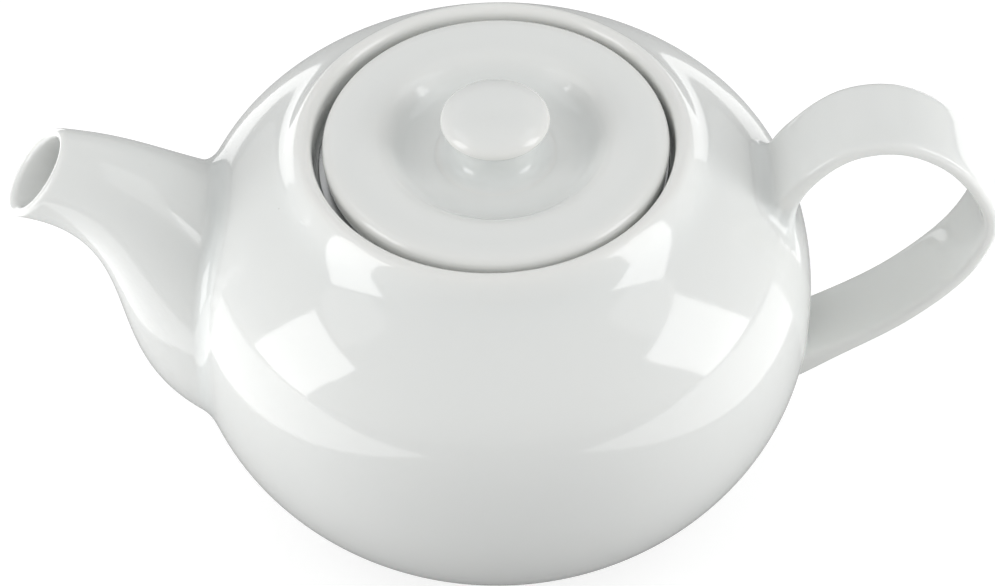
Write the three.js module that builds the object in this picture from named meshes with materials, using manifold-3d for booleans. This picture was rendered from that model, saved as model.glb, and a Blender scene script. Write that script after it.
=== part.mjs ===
// A porcelain teapot with a lift-out steel infuser, in millimetres, +Z up.
// The origin is on the table at the centre of the foot ring. The handle points along +X, the spout along -X.
import * as THREE from "three";
import { mergeVertices } from "three/addons/utils/BufferGeometryUtils.js";
import Module from "manifold-3d";

const TOUCH_GAP = 0.3; // between pieces that touch
const WELD = 1e-3; // vertices closer than this are one

// Pot body: half an ellipse under the belly, a full shoulder above it, a foot ring and a rolled collar.
const BELLY_RADIUS = 71.5;
const BELLY_HEIGHT = 48;
const LOWER_SEMI_HEIGHT = 56.5;
const SHOULDER_LINE = [
  [BELLY_RADIUS, BELLY_HEIGHT], [71.3, 56], [70.7, 62], [69.6, 68], [68.4, 72], [67.3, 75], [65.9, 78],
  [64.4, 80], [62.5, 82], [60.4, 84], [58.1, 86], [55.5, 88], [52.7, 90], [49.9, 91.9],
];
const POT_WALL = 4;
const FOOT_OUTER_RADIUS = 38.5;
const FOOT_INNER_RADIUS = 33;
const FOOT_RING_HEIGHT = 3;
const FOOT_EDGE = 1.2; // rounding under the foot ring
const FLOOR_HEIGHT = 7.5; // top of the pot's floor
const SHOULDER_HEIGHT = 91.9; // where the collar's hollow leaves the shoulder
const COLLAR_LINE = [
  [47.7, 93.7], [46.1, 95.5], [44.9, 97.3], [43.9, 98.7], [42.9, 99.6], [41.8, 99.9], [40.8, 99.4], [40.1, 98.4],
  [39.6, 96.8],
];
const RECESS_RADIUS = 39.6;
const LEDGE_HEIGHT = 92;
const MOUTH_RADIUS = 37.4;
const NECK_BOTTOM = 88;
const POT_SEGMENTS = 48;

// Strainer holes in the body's wall, behind the spout.
const STRAINER_ROWS = [3, 4, 5, 4, 3];
const STRAINER_PITCH = 8;
const STRAINER_RADIUS = 2.2;
const STRAINER_CENTRE_HEIGHT = 57;
const STRAINER_SIDES = 8;

// Spout: each cross-section joins the upper edge to the lower edge, from the mouth to inside the body.
const SPOUT_UPPER_EDGE = [[-92.7, 101.9], [-78.6, 97.9], [-69.7, 91], [-54, 76]];
const SPOUT_LOWER_EDGE = [[-109, 85.3], [-66.9, 78], [-106.5, 28.3], [-50, 20]];
const SPOUT_MOUTH_HALF_WIDTH = 10.5;
const SPOUT_BASE_HALF_WIDTH = 33;
const SPOUT_WIDENING = 1.5; // power of the widening from the mouth to the base
const SPOUT_TIP_WALL = 2.4;
const SPOUT_BASE_WALL = 3.6;
const SPOUT_SIDES = 24;
const SPOUT_STEPS = 14;

// Handle: a ribbon with rounded edges, along a curve in the X-Z plane.
const HANDLE_LINE = [
  [59, 72], [66.5, 89.8], [76.6, 99.5], [87.2, 101], [97.2, 96.4], [105, 87.6],
  [109.7, 75.5], [105.4, 61.4], [92.8, 46.2], [76, 33.9], [62, 25.5],
];
const HANDLE_TOP_WIDTH = 20.5;
const HANDLE_FOOT_WIDTH = 18.2;
const HANDLE_THICKNESS = 4;
const HANDLE_ROOT_THICKENING = 4.5;
const HANDLE_ROOT_REACH = 0.1; // share of the handle's length over which the root thins out
const HANDLE_SQUARENESS = 0.42; // 1 is an ellipse, 0 a sharp rectangle
const HANDLE_SIDES = 16;
const HANDLE_STEPS = 34;

// Lid: a flat band round a dish, with a locating skirt underneath. It lies a little off centre in its recess.
const LID_REST_OFFSET = 0.54;
const LID_RADIUS = 37.93;
const LID_BAND_HEIGHT = 100.4;
const LID_DISH_HEIGHT = 95;
const LID_DISH_RADIUS = 17.8;
const LID_RIDGE_RADIUS = 27.2;
const LID_FLANGE_BOTTOM = 93.4;
const SKIRT_RADIUS = 26.4;
const SKIRT_WALL = 3.2;
const SKIRT_BOTTOM = 82;
const LID_UNDERSIDE = 90.4;
const LID_SEGMENTS = 40;

// Knob: a button that tapers down to a stout neck, which flares into the dish.
const KNOB_RADIUS = 11.9;
const KNOB_WIDEST_HEIGHT = 105;
const KNOB_TOP = 107.6;
const KNOB_NECK_RADIUS = 8.5;
const KNOB_NECK_HEIGHT = 98.9;
const KNOB_FOOT_RADIUS = 10.8;
const KNOB_SEGMENTS = 28;

// Infuser: a perforated basket hung by its rim on the pot's ledge.
const RIM_RADIUS = 38.6;
const RIM_THICKNESS = 0.8;
const RIM_COLLAR_BOTTOM = 86;
const BASKET_TOP_RADIUS = 28.2;
const BASKET_FOOT_RADIUS = 27;
const BASKET_WALL = 0.8;
const BASKET_BOTTOM = 21;
const BASKET_SEGMENTS = 36;
const BASKET_HOLE_COLUMNS = 12;
const BASKET_HOLE_ROWS = 6;
const BASKET_HOLE_RADIUS = 2.6;
const BASKET_HOLE_SIDES = 6;
const FLOOR_CUP_LIP = 5;
const FLOOR_HOLE_RINGS = [[1, 0], [6, 9], [12, 18]];

const RIM_BOTTOM = LEDGE_HEIGHT + TOUCH_GAP;
const RIM_TOP = RIM_BOTTOM + RIM_THICKNESS;
const BASKET_TOP = RIM_BOTTOM;

const porcelain = { color: 0xf1f2f0, roughness: 0.12, metalness: 0 };
const steel = { color: 0xc4c6c8, roughness: 0.32, metalness: 1 };

const wasm = await Module();
wasm.setup();

function toSolid(geometry) {
  geometry.deleteAttribute("normal");
  geometry.deleteAttribute("uv");
  const merged = mergeVertices(geometry, WELD);
  return new wasm.Manifold(new wasm.Mesh({
    numProp: 3,
    vertProperties: merged.attributes.position.array,
    triVerts: new Uint32Array(merged.index.array),
  }));
}

function toGeometry(solid) {
  const mesh = solid.getMesh();
  const geometry = new THREE.BufferGeometry();
  geometry.setAttribute("position", new THREE.BufferAttribute(mesh.vertProperties, 3));
  geometry.setIndex(new THREE.BufferAttribute(mesh.triVerts, 1));
  geometry.computeVertexNormals();
  return geometry;
}

function piece(name, geometry, finish) {
  const mesh = new THREE.Mesh(geometry, new THREE.MeshStandardMaterial(finish));
  mesh.name = name;
  return mesh;
}

// Turns a profile of [radius, height] points about +Z. It runs up on the outside and down on the inside.
function turned(profile, segments) {
  const points = profile.map(([radius, height]) => new THREE.Vector2(radius, height));
  return new THREE.LatheGeometry(points, segments).rotateX(Math.PI / 2);
}

// Points on a quarter-ellipse style arc between two angles in degrees, counted from +radius towards +height.
function arc(centreRadius, centreHeight, radiusAxis, heightAxis, fromDegrees, toDegrees, count) {
  return Array.from({ length: count + 1 }, (_, i) => {
    const angle = THREE.MathUtils.degToRad(fromDegrees + ((toDegrees - fromDegrees) * i) / count);
    return [centreRadius + radiusAxis * Math.cos(angle), centreHeight + heightAxis * Math.sin(angle)];
  });
}

// The belly's outline between two heights, moved outwards by `grow`: the lower ellipse, then the shoulder line.
function bellyArc(grow, fromHeight, toHeight, count) {
  const from = THREE.MathUtils.radToDeg(Math.asin((fromHeight - BELLY_HEIGHT) / (LOWER_SEMI_HEIGHT + grow)));
  const lower = arc(0, BELLY_HEIGHT, BELLY_RADIUS + grow, LOWER_SEMI_HEIGHT + grow, from, 0, count);
  const upper = SHOULDER_LINE.slice(1).map(([radius, height], i) => {
    const [backRadius, backHeight] = SHOULDER_LINE[i];
    const [nextRadius, nextHeight] = SHOULDER_LINE[Math.min(i + 2, SHOULDER_LINE.length - 1)];
    const length = Math.hypot(nextRadius - backRadius, nextHeight - backHeight);
    return [
      radius + (grow * (nextHeight - backHeight)) / length,
      height - (grow * (nextRadius - backRadius)) / length,
    ];
  });
  const below = upper.filter(([, height]) => height < toHeight - TOUCH_GAP);
  const [lastRadius, lastHeight] = below.at(-1);
  const [overRadius, overHeight] = upper[below.length] ?? below.at(-2);
  const share = (toHeight - lastHeight) / (overHeight - lastHeight);
  return [...lower, ...below, [lastRadius + (overRadius - lastRadius) * share, toHeight]];
}

// The solid that the spout and the handle are trimmed against.
function bellySolid() {
  const low = FOOT_RING_HEIGHT;
  return toSolid(turned(
    [[0, low], ...bellyArc(TOUCH_GAP, low, SHOULDER_HEIGHT, 12), [0, SHOULDER_HEIGHT]],
    POT_SEGMENTS,
  ));
}

function potBodyProfile() {
  return [
    [0, FOOT_RING_HEIGHT], [FOOT_INNER_RADIUS, FOOT_RING_HEIGHT],
    [FOOT_INNER_RADIUS + FOOT_EDGE, 0], [FOOT_OUTER_RADIUS - FOOT_EDGE, 0],
    [FOOT_OUTER_RADIUS, FOOT_EDGE], [FOOT_OUTER_RADIUS + 1, FOOT_RING_HEIGHT - 0.6],
    ...bellyArc(0, FOOT_RING_HEIGHT, SHOULDER_HEIGHT, 9),
    ...COLLAR_LINE,
    [RECESS_RADIUS, LEDGE_HEIGHT], [MOUTH_RADIUS, LEDGE_HEIGHT], [MOUTH_RADIUS, NECK_BOTTOM],
    ...bellyArc(-POT_WALL, FLOOR_HEIGHT, NECK_BOTTOM, 7).reverse(),
    [0, FLOOR_HEIGHT],
  ];
}

function potBody() {
  let body = toSolid(turned(potBodyProfile(), POT_SEGMENTS));
  STRAINER_ROWS.forEach((count, row) => {
    const height = STRAINER_CENTRE_HEIGHT + (row - (STRAINER_ROWS.length - 1) / 2) * STRAINER_PITCH;
    for (let i = 0; i < count; i++) {
      const side = (i - (count - 1) / 2) * STRAINER_PITCH;
      const drill = new THREE.CylinderGeometry(STRAINER_RADIUS, STRAINER_RADIUS, 30, STRAINER_SIDES)
        .rotateZ(Math.PI / 2)
        .translate(-BELLY_RADIUS + 8, side, height);
      body = body.subtract(toSolid(drill));
    }
  });
  return toGeometry(body);
}

function edgeCurve(points) {
  return new THREE.CubicBezierCurve(...points.map(([x, z]) => new THREE.Vector2(x, z)));
}

// A closed tube along the spout, `inset` inside its outer surface, from section `start` to section `end`.
function spoutTube(insetAt, start, end) {
  const upperEdge = edgeCurve(SPOUT_UPPER_EDGE);
  const lowerEdge = edgeCurve(SPOUT_LOWER_EDGE);
  const tube = new THREE.CylinderGeometry(1, 1, 1, SPOUT_SIDES, SPOUT_STEPS);
  const position = tube.attributes.position;
  for (let i = 0; i < position.count; i++) {
    const t = start + (end - start) * (position.getY(i) + 0.5);
    const upper = upperEdge.getPoint(t);
    const lower = lowerEdge.getPoint(t);
    const centre = upper.clone().add(lower).multiplyScalar(0.5);
    const half = upper.sub(lower).multiplyScalar(0.5);
    const inset = insetAt(t);
    half.setLength(half.length() - inset);
    const widening = (SPOUT_BASE_HALF_WIDTH - SPOUT_MOUTH_HALF_WIDTH) * Math.max(t, 0) ** SPOUT_WIDENING;
    const halfWidth = SPOUT_MOUTH_HALF_WIDTH + widening - inset;
    position.setXYZ(
      i,
      centre.x + half.x * position.getX(i),
      halfWidth * position.getZ(i),
      centre.y + half.y * position.getX(i),
    );
  }
  return toSolid(tube);
}

function spout(belly) {
  const wallAt = (t) => SPOUT_TIP_WALL + (SPOUT_BASE_WALL - SPOUT_TIP_WALL) * Math.min(Math.max(t, 0) * 3, 1);
  const outside = spoutTube(() => 0, 0, 1);
  const channel = spoutTube(wallAt, -0.05, 1.02);
  return toGeometry(outside.subtract(belly).subtract(channel));
}

function signedPower(value, power) {
  return Math.sign(value) * Math.abs(value) ** power;
}

function handle(belly) {
  const line = new THREE.CatmullRomCurve3(HANDLE_LINE.map(([x, z]) => new THREE.Vector3(x, 0, z)));
  const ribbon = new THREE.CylinderGeometry(1, 1, 1, HANDLE_SIDES, HANDLE_STEPS);
  const position = ribbon.attributes.position;
  for (let i = 0; i < position.count; i++) {
    const t = position.getY(i) + 0.5;
    const centre = line.getPointAt(t);
    const along = line.getTangentAt(t);
    const rootDistance = Math.min(t, 1 - t) / HANDLE_ROOT_REACH;
    const halfThickness = (HANDLE_THICKNESS + HANDLE_ROOT_THICKENING * Math.exp(-(rootDistance ** 2))) / 2;
    const halfWidth = (HANDLE_TOP_WIDTH + (HANDLE_FOOT_WIDTH - HANDLE_TOP_WIDTH) * t) / 2;
    const acrossThickness = halfThickness * signedPower(position.getX(i), HANDLE_SQUARENESS);
    const acrossWidth = halfWidth * signedPower(position.getZ(i), HANDLE_SQUARENESS);
    position.setXYZ(
      i,
      centre.x - along.z * acrossThickness,
      acrossWidth,
      centre.z + along.x * acrossThickness,
    );
  }
  return toGeometry(toSolid(ribbon).subtract(belly));
}

function lid() {
  const skirtInner = SKIRT_RADIUS - SKIRT_WALL;
  const profile = [
    [0, LID_UNDERSIDE], [skirtInner - 1.5, LID_UNDERSIDE], [skirtInner, LID_UNDERSIDE - 1.5],
    [skirtInner, SKIRT_BOTTOM + 1], [skirtInner + 1, SKIRT_BOTTOM], [SKIRT_RADIUS - 1, SKIRT_BOTTOM],
    [SKIRT_RADIUS, SKIRT_BOTTOM + 1], [SKIRT_RADIUS, LID_FLANGE_BOTTOM],
    [LID_RADIUS - 1.2, LID_FLANGE_BOTTOM], [LID_RADIUS - 0.3, LID_FLANGE_BOTTOM + 1.2],
    [LID_RADIUS, LID_BAND_HEIGHT - 2.2],
    ...arc(LID_RADIUS - 2.2, LID_BAND_HEIGHT - 2.2, 2.2, 2, 30, 90, 2),
    [32.5, LID_BAND_HEIGHT + 0.2], [29.6, LID_BAND_HEIGHT - 0.1],
    [LID_RIDGE_RADIUS, LID_BAND_HEIGHT - 1.1], [24, 97.1], [21, 95.5],
    [LID_DISH_RADIUS, LID_DISH_HEIGHT + 0.1], [KNOB_FOOT_RADIUS, LID_DISH_HEIGHT], [0, LID_DISH_HEIGHT],
  ];
  return turned(profile, LID_SEGMENTS).translate(LID_REST_OFFSET, 0, 0);
}

function lidKnob() {
  const bottom = LID_DISH_HEIGHT + TOUCH_GAP;
  const profile = [
    [0, bottom], [KNOB_FOOT_RADIUS, bottom], [9.5, 96.2], [KNOB_NECK_RADIUS + 0.2, 97.6],
    [KNOB_NECK_RADIUS, KNOB_NECK_HEIGHT], [8.8, 100.6], [9.8, 102.2], [11.1, 103.6],
    [KNOB_RADIUS, KNOB_WIDEST_HEIGHT], [11.4, 106], [9.6, 106.8], [5, KNOB_TOP - 0.2], [0, KNOB_TOP],
  ];
  return turned(profile, KNOB_SEGMENTS).translate(LID_REST_OFFSET, 0, 0);
}

// The basket's outer radius at a height: it tapers slightly towards its floor.
function basketRadius(height) {
  const rise = (height - BASKET_BOTTOM) / (BASKET_TOP - BASKET_BOTTOM);
  return BASKET_FOOT_RADIUS + (BASKET_TOP_RADIUS - BASKET_FOOT_RADIUS) * rise;
}

function infuserRim() {
  const inner = BASKET_TOP_RADIUS + TOUCH_GAP;
  const outer = inner + RIM_THICKNESS;
  return turned([
    [inner, RIM_COLLAR_BOTTOM], [outer, RIM_COLLAR_BOTTOM], [outer, RIM_BOTTOM - 0.6],
    [outer + 0.6, RIM_BOTTOM], [RIM_RADIUS, RIM_BOTTOM], [RIM_RADIUS, RIM_TOP],
    [inner + 0.6, RIM_TOP], [inner, RIM_TOP - 0.6], [inner, RIM_COLLAR_BOTTOM],
  ], BASKET_SEGMENTS);
}

// Drills that run right across the basket, so each one opens a hole on both sides.
function basketDrills() {
  const drills = [];
  const pitch = (RIM_COLLAR_BOTTOM - BASKET_BOTTOM - FLOOR_CUP_LIP) / BASKET_HOLE_ROWS;
  for (let row = 0; row < BASKET_HOLE_ROWS; row++) {
    const height = BASKET_BOTTOM + FLOOR_CUP_LIP + pitch * (row + 0.5);
    for (let column = 0; column < BASKET_HOLE_COLUMNS / 2; column++) {
      const turn = ((column + (row % 2) / 2) * 2 * Math.PI) / BASKET_HOLE_COLUMNS;
      drills.push(
        new THREE.CylinderGeometry(BASKET_HOLE_RADIUS, BASKET_HOLE_RADIUS, 3 * BASKET_TOP_RADIUS, BASKET_HOLE_SIDES)
          .rotateZ(Math.PI / 2)
          .rotateZ(turn)
          .translate(0, 0, height),
      );
    }
  }
  return drills;
}

function infuserWall() {
  const bottom = BASKET_BOTTOM + RIM_THICKNESS + TOUCH_GAP;
  let wall = toSolid(turned([
    [basketRadius(bottom) - BASKET_WALL, bottom], [basketRadius(bottom), bottom],
    [BASKET_TOP_RADIUS, BASKET_TOP], [BASKET_TOP_RADIUS - BASKET_WALL, BASKET_TOP],
    [basketRadius(bottom) - BASKET_WALL, bottom],
  ], BASKET_SEGMENTS));
  for (const drill of basketDrills()) wall = wall.subtract(toSolid(drill));
  return toGeometry(wall);
}

function infuserBase() {
  const inner = basketRadius(BASKET_BOTTOM + FLOOR_CUP_LIP) + TOUCH_GAP;
  const outer = inner + RIM_THICKNESS;
  const top = BASKET_BOTTOM + RIM_THICKNESS;
  let cup = toSolid(turned([
    [0, BASKET_BOTTOM], [outer - 1, BASKET_BOTTOM], [outer, BASKET_BOTTOM + 1],
    [outer, BASKET_BOTTOM + FLOOR_CUP_LIP], [inner, BASKET_BOTTOM + FLOOR_CUP_LIP], [inner, top], [0, top],
  ], BASKET_SEGMENTS));
  for (const [count, ringRadius] of FLOOR_HOLE_RINGS) {
    for (let i = 0; i < count; i++) {
      const turn = (i * 2 * Math.PI) / count;
      const drill = new THREE.CylinderGeometry(BASKET_HOLE_RADIUS, BASKET_HOLE_RADIUS, 8, BASKET_HOLE_SIDES)
        .rotateX(Math.PI / 2)
        .translate(ringRadius * Math.cos(turn), ringRadius * Math.sin(turn), BASKET_BOTTOM);
      cup = cup.subtract(toSolid(drill));
    }
  }
  return toGeometry(cup);
}

const belly = bellySolid();

const pot = new THREE.Group();
pot.add(
  piece("pot_body", potBody(), porcelain),
  piece("spout", spout(belly), porcelain),
  piece("handle", handle(belly), porcelain),
);

const infuser = new THREE.Group();
infuser.add(
  piece("infuser_rim", infuserRim(), steel),
  piece("infuser_wall", infuserWall(), steel),
  piece("infuser_base", infuserBase(), steel),
);

const cover = new THREE.Group();
cover.add(piece("lid", lid(), porcelain), piece("lid_knob", lidKnob(), porcelain));

const teapot = new THREE.Group();
teapot.add(pot, infuser, cover);

export default teapot;
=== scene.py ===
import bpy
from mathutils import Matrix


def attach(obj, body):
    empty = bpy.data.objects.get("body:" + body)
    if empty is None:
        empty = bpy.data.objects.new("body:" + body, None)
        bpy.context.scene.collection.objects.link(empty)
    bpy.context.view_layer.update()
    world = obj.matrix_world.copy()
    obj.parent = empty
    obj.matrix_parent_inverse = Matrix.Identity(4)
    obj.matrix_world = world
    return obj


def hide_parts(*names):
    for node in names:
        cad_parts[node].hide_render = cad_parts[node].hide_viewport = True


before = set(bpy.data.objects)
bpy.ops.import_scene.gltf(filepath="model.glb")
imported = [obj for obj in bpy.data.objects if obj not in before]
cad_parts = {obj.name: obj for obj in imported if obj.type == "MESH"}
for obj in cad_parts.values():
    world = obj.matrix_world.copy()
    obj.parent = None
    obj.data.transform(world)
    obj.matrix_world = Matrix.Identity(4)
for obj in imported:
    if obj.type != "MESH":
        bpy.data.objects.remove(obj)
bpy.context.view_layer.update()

import bmesh
import bpy
import numpy as np
from mathutils import Matrix, Quaternion, Vector

# A white porcelain teapot with a steel basket inside. Shapes are in millimetres until meshFrom makes
# them metres. Lengths in the materials are in metres.
mm = 0.001
weldDistance = 2e-7  # metres within which points become one


def unit(v):
    return v / np.linalg.norm(v, axis=-1, keepdims=True)


def runAlong(line):
    # Distance from the start to every point of a line, or of several lines side by side.
    steps = np.linalg.norm(np.diff(line, axis=0), axis=-1)
    return np.concatenate([np.zeros_like(steps[:1]), np.cumsum(steps, axis=0)])


def evenly(line, count):
    # The same line with its points spaced evenly along its length.
    line = np.asarray(line, float)
    run = runAlong(line)
    wanted = np.linspace(0, 1, count) * run[-1]
    return np.stack([np.interp(wanted, run, line[:, axis]) for axis in range(line.shape[1])], 1)


def curveThrough(points, count):
    # Centripetal Catmull-Rom: knots are spaced by the root of each chord, and each stretch blends
    # its four neighbours in three rounds of straight mixing. It is then spaced evenly.
    p = np.asarray(points, float)
    p = np.vstack([2 * p[0] - p[1], p, 2 * p[-1] - p[-2]])
    knots = np.concatenate([[0], np.cumsum(np.linalg.norm(np.diff(p, axis=0), axis=1) ** 0.5)])
    finePerPoint = 60
    u = np.linspace(knots[1], knots[-2], finePerPoint * len(points))
    i = np.clip(np.searchsorted(knots, u, side="right") - 1, 1, len(p) - 3)
    k0, k1, k2, k3 = (knots[i + n][:, None] for n in (-1, 0, 1, 2))
    p0, p1, p2, p3 = (p[i + n] for n in (-1, 0, 1, 2))
    u = u[:, None]

    def mix(a, b, ka, kb):
        return (a * (kb - u) + b * (u - ka)) / (kb - ka)

    a1, a2, a3 = mix(p0, p1, k0, k1), mix(p1, p2, k1, k2), mix(p2, p3, k2, k3)
    b1, b2 = mix(a1, a2, k0, k2), mix(a2, a3, k1, k3)
    return evenly(mix(b1, b2, k1, k2), count)


def bezier(points, t):
    # Cubic Bezier: the four points weighted by (1-t)^3, 3t(1-t)^2, 3t^2(1-t) and t^3.
    a, b, c, d = (np.asarray(p, float) for p in points)
    t = np.asarray(t, float)[:, None]
    return (1 - t) ** 3 * a + 3 * t * (1 - t) ** 2 * b + 3 * t * t * (1 - t) * c + t ** 3 * d


def cornered(corners, steps):
    # A line of straight stretches through corners (r, z, radius). Each corner becomes an arc of that
    # radius, tangent to both sides, in so many steps.
    parts = []
    for i, (x, z, radius) in enumerate(corners):
        here = np.array([x, z], float)
        if radius == 0 or i in (0, len(corners) - 1):
            parts.append(here[None])
            continue
        back = np.array(corners[i - 1][:2], float) - here
        on = np.array(corners[i + 1][:2], float) - here
        back, on = back / np.linalg.norm(back), on / np.linalg.norm(on)
        half = np.arccos(np.clip(back @ on, -1, 1)) / 2
        middle = (back + on) / np.linalg.norm(back + on)
        centre = here + middle * radius / np.sin(half)
        first = here + back * radius / np.tan(half) - centre
        last = here + on * radius / np.tan(half) - centre
        sweep = np.arctan2(first[0] * last[1] - first[1] * last[0], first @ last)
        turn = np.linspace(0, 1, steps) * sweep
        c, s = np.cos(turn), np.sin(turn)
        parts.append(centre + np.stack([c * first[0] - s * first[1], s * first[0] + c * first[1]], 1))
    return np.concatenate(parts)


def turned(profile, turns, centreX=0.0):
    # Each profile point (r, z) goes round the upright axis: (r cos a, r sin a, z).
    a = np.arange(turns) * 2 * np.pi / turns
    r, z = profile[:, :1], profile[:, 1:]
    return np.stack([centreX + r * np.cos(a), r * np.sin(a), z + 0 * a], 2)


def hollowness(profile, spread=1.6, gain=2.2):
    # How strongly the profile bends inwards at each point, from -1 to 1: the turning at its points,
    # smoothed by a bell along its length. Hollows get pooled glaze with painted shade, and the glaze runs
    # thin over outward bends.
    step = np.diff(profile, axis=0)
    heading = np.arctan2(step[:, 1], step[:, 0])
    turn = np.zeros(len(profile))
    turn[1:-1] = (np.diff(heading) + np.pi) % (2 * np.pi) - np.pi
    run = runAlong(profile)
    weight = np.exp(-((run[:, None] - run[None]) / spread) ** 2)
    bellArea = 1.77 * spread
    bend = (weight * turn[None]).sum(1) / bellArea
    return np.clip(-bend * gain, -1, 1)


def gridFaces(rows, columns, closeRows, closeColumns):
    # Quads between neighbouring rows and columns, joined end to start where the surface closes on itself.
    index = np.arange(rows * columns).reshape(rows, columns)
    down = np.roll(index, -1, 0) if closeRows else index[1:]
    top = index if closeRows else index[:-1]
    right = np.roll(np.arange(columns), -1)
    quads = np.stack([top, down, down[:, right], top[:, right]], 2)
    if not closeColumns:
        quads = quads[:, :-1]
    return quads.reshape(-1, 4)


def meshFrom(name, points, faces, marks=None):
    # A closed mesh whose faces point outwards: they are turned round if the volume they hold is negative.
    # Points that coincide, at poles and seams, become one.
    a, b, c, d = (points[faces[:, i]] for i in range(4))
    volume = (a * np.cross(b, c)).sum() + (a * np.cross(c, d)).sum()
    if volume < 0:
        faces = faces[:, ::-1]
    mesh = bpy.data.meshes.new(name)
    mesh.from_pydata((points * mm).tolist(), [], faces.tolist())
    for mark, values in (marks or {}).items():
        layer = mesh.attributes.new(mark, "FLOAT", "POINT")
        layer.data.foreach_set("value", np.asarray(values, np.float32).ravel())
    work = bmesh.new()
    work.from_mesh(mesh)
    bmesh.ops.remove_doubles(work, verts=work.verts, dist=weldDistance)
    work.to_mesh(mesh)
    work.free()
    mesh.polygons.foreach_set("use_smooth", np.ones(len(mesh.polygons), bool))
    return mesh


def makePiece(name, mesh, body, slot, material, *nodes, sharpDegrees=38):
    mesh.set_sharp_from_angle(angle=np.radians(sharpDegrees))
    piece = bpy.data.objects.new(name, mesh)
    bpy.context.scene.collection.objects.link(piece)
    mesh.materials.clear()
    mesh.materials.append(material)
    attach(piece, body)
    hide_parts(*nodes)
    print(name, len(mesh.polygons), "faces")


def gridPiece(name, grid, body, slot, material, *nodes, closeRows=False, marks=None, sharpDegrees=38):
    rows, columns = grid.shape[:2]
    faces = gridFaces(rows, columns, closeRows, True)
    mesh = meshFrom(name, grid.reshape(-1, 3), faces, marks)
    makePiece(name, mesh, body, slot, material, *nodes, sharpDegrees=sharpDegrees)


def drilled(mesh, starts, direction, depth, radius, sides):
    # Round holes cut through a mesh: one prism of `sides` faces for each start point, all cut at once.
    a = np.arange(sides) * 2 * np.pi / sides
    along = np.asarray(direction, float)
    anyOther = [0.3, 0.5, 0.81]  # only has to point elsewhere
    across = np.cross(along, anyOther)
    across /= np.linalg.norm(across)
    other = np.cross(along, across)
    ring = radius * (np.cos(a)[:, None] * across + np.sin(a)[:, None] * other)
    starts = np.asarray(starts, float)
    both = np.stack([starts[:, None] + ring, starts[:, None] + ring + depth * along], 1)
    base = np.arange(len(starts))[:, None, None] * 2 * sides
    i = np.arange(sides)
    j = np.roll(i, -1)
    walls = (base + np.stack([i, j, j + sides, i + sides], 1)[None]).reshape(-1, 4)
    ends = (base[:, 0] + i[::-1]).tolist() + (base[:, 0] + i + sides).tolist()
    tool = bpy.data.meshes.new("drills")
    tool.from_pydata((both.reshape(-1, 3) * mm).tolist(), [], walls.tolist() + ends)
    work = bmesh.new()
    work.from_mesh(tool)
    bmesh.ops.recalc_face_normals(work, faces=work.faces)
    work.to_mesh(tool)
    work.free()
    blank, cutter = (bpy.data.objects.new(n, m) for n, m in (("blank", mesh), ("cutter", tool)))
    for each in (blank, cutter):
        bpy.context.scene.collection.objects.link(each)
    cut = blank.modifiers.new("drill", "BOOLEAN")
    cut.operation, cut.solver, cut.object = "DIFFERENCE", "EXACT", cutter
    bpy.context.view_layer.update()
    done = bpy.data.meshes.new_from_object(blank.evaluated_get(bpy.context.evaluated_depsgraph_get()))
    bpy.data.objects.remove(blank)
    bpy.data.objects.remove(cutter)
    done.name = mesh.name
    return done


class NodeBench:
    # Short words for adding and wiring nodes in one tree.
    def __init__(self, tree):
        self.tree = tree

    def add(self, kind, *links, **settings):
        node = self.tree.nodes.new("ShaderNode" + kind)
        values = settings.pop("values", {})
        for name, value in settings.items():
            setattr(node, name, value)
        for name, value in values.items():
            node.inputs[name].default_value = value
        for name, source in links:
            self.tree.links.new(source, node.inputs[name])
        return node

    def math(self, operation, a, b=None, clamp=False):
        node = self.add("Math", operation=operation, use_clamp=clamp)
        for i, value in enumerate((a, b)):
            if value is None:
                continue
            if isinstance(value, (int, float)):
                node.inputs[i].default_value = value
            else:
                self.tree.links.new(value, node.inputs[i])
        return node.outputs[0]

    def ramp(self, value, low, high, toLow=0.0, toHigh=1.0):
        node = self.add("MapRange", ("Value", value), interpolation_type="SMOOTHSTEP",
                        values={"From Min": low, "From Max": high, "To Min": toLow, "To Max": toHigh})
        return node.outputs["Result"]

    def blend(self, share, a, b):
        node = self.add("Mix", data_type="RGBA")
        for i, value in ((0, share), (6, a), (7, b)):
            if isinstance(value, (int, float, tuple)):
                node.inputs[i].default_value = value
            else:
                self.tree.links.new(value, node.inputs[i])
        return node.outputs[2]

    def noise(self, where, scale, detail, roughness=0.5):
        node = self.add("TexNoise", ("Vector", where),
                        values={"Scale": scale, "Detail": detail, "Roughness": roughness})
        return node.outputs["Fac"]

    def give(self, result, **sources):
        for socket, source in sources.items():
            self.tree.links.new(source, result.inputs[socket])


def newGroup(name, inputs, outputs):
    # A shader node group with named sockets: {"name": (type, default)}.
    tree = bpy.data.node_groups.new(name, "ShaderNodeTree")
    kinds = {"value": "NodeSocketFloat", "colour": "NodeSocketColor", "vector": "NodeSocketVector"}
    for socketName, (kind, default) in inputs.items():
        socket = tree.interface.new_socket(socketName, in_out="INPUT", socket_type=kinds[kind])
        socket.default_value = default
    for socketName, kind in outputs.items():
        tree.interface.new_socket(socketName, in_out="OUTPUT", socket_type=kinds[kind])
    return NodeBench(tree), tree.nodes.new("NodeGroupInput").outputs, tree.nodes.new("NodeGroupOutput")


def newMaterial(name):
    material = bpy.data.materials.new(name)
    material.use_nodes = True
    material.node_tree.nodes.clear()
    return material, NodeBench(material.node_tree)


def grey(level, tint=(1, 1, 1)):
    return tuple(level * t for t in tint) + (1.0,)


surfaceOutputs = {"Color": "colour", "Roughness": "value", "Height": "value"}

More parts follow.
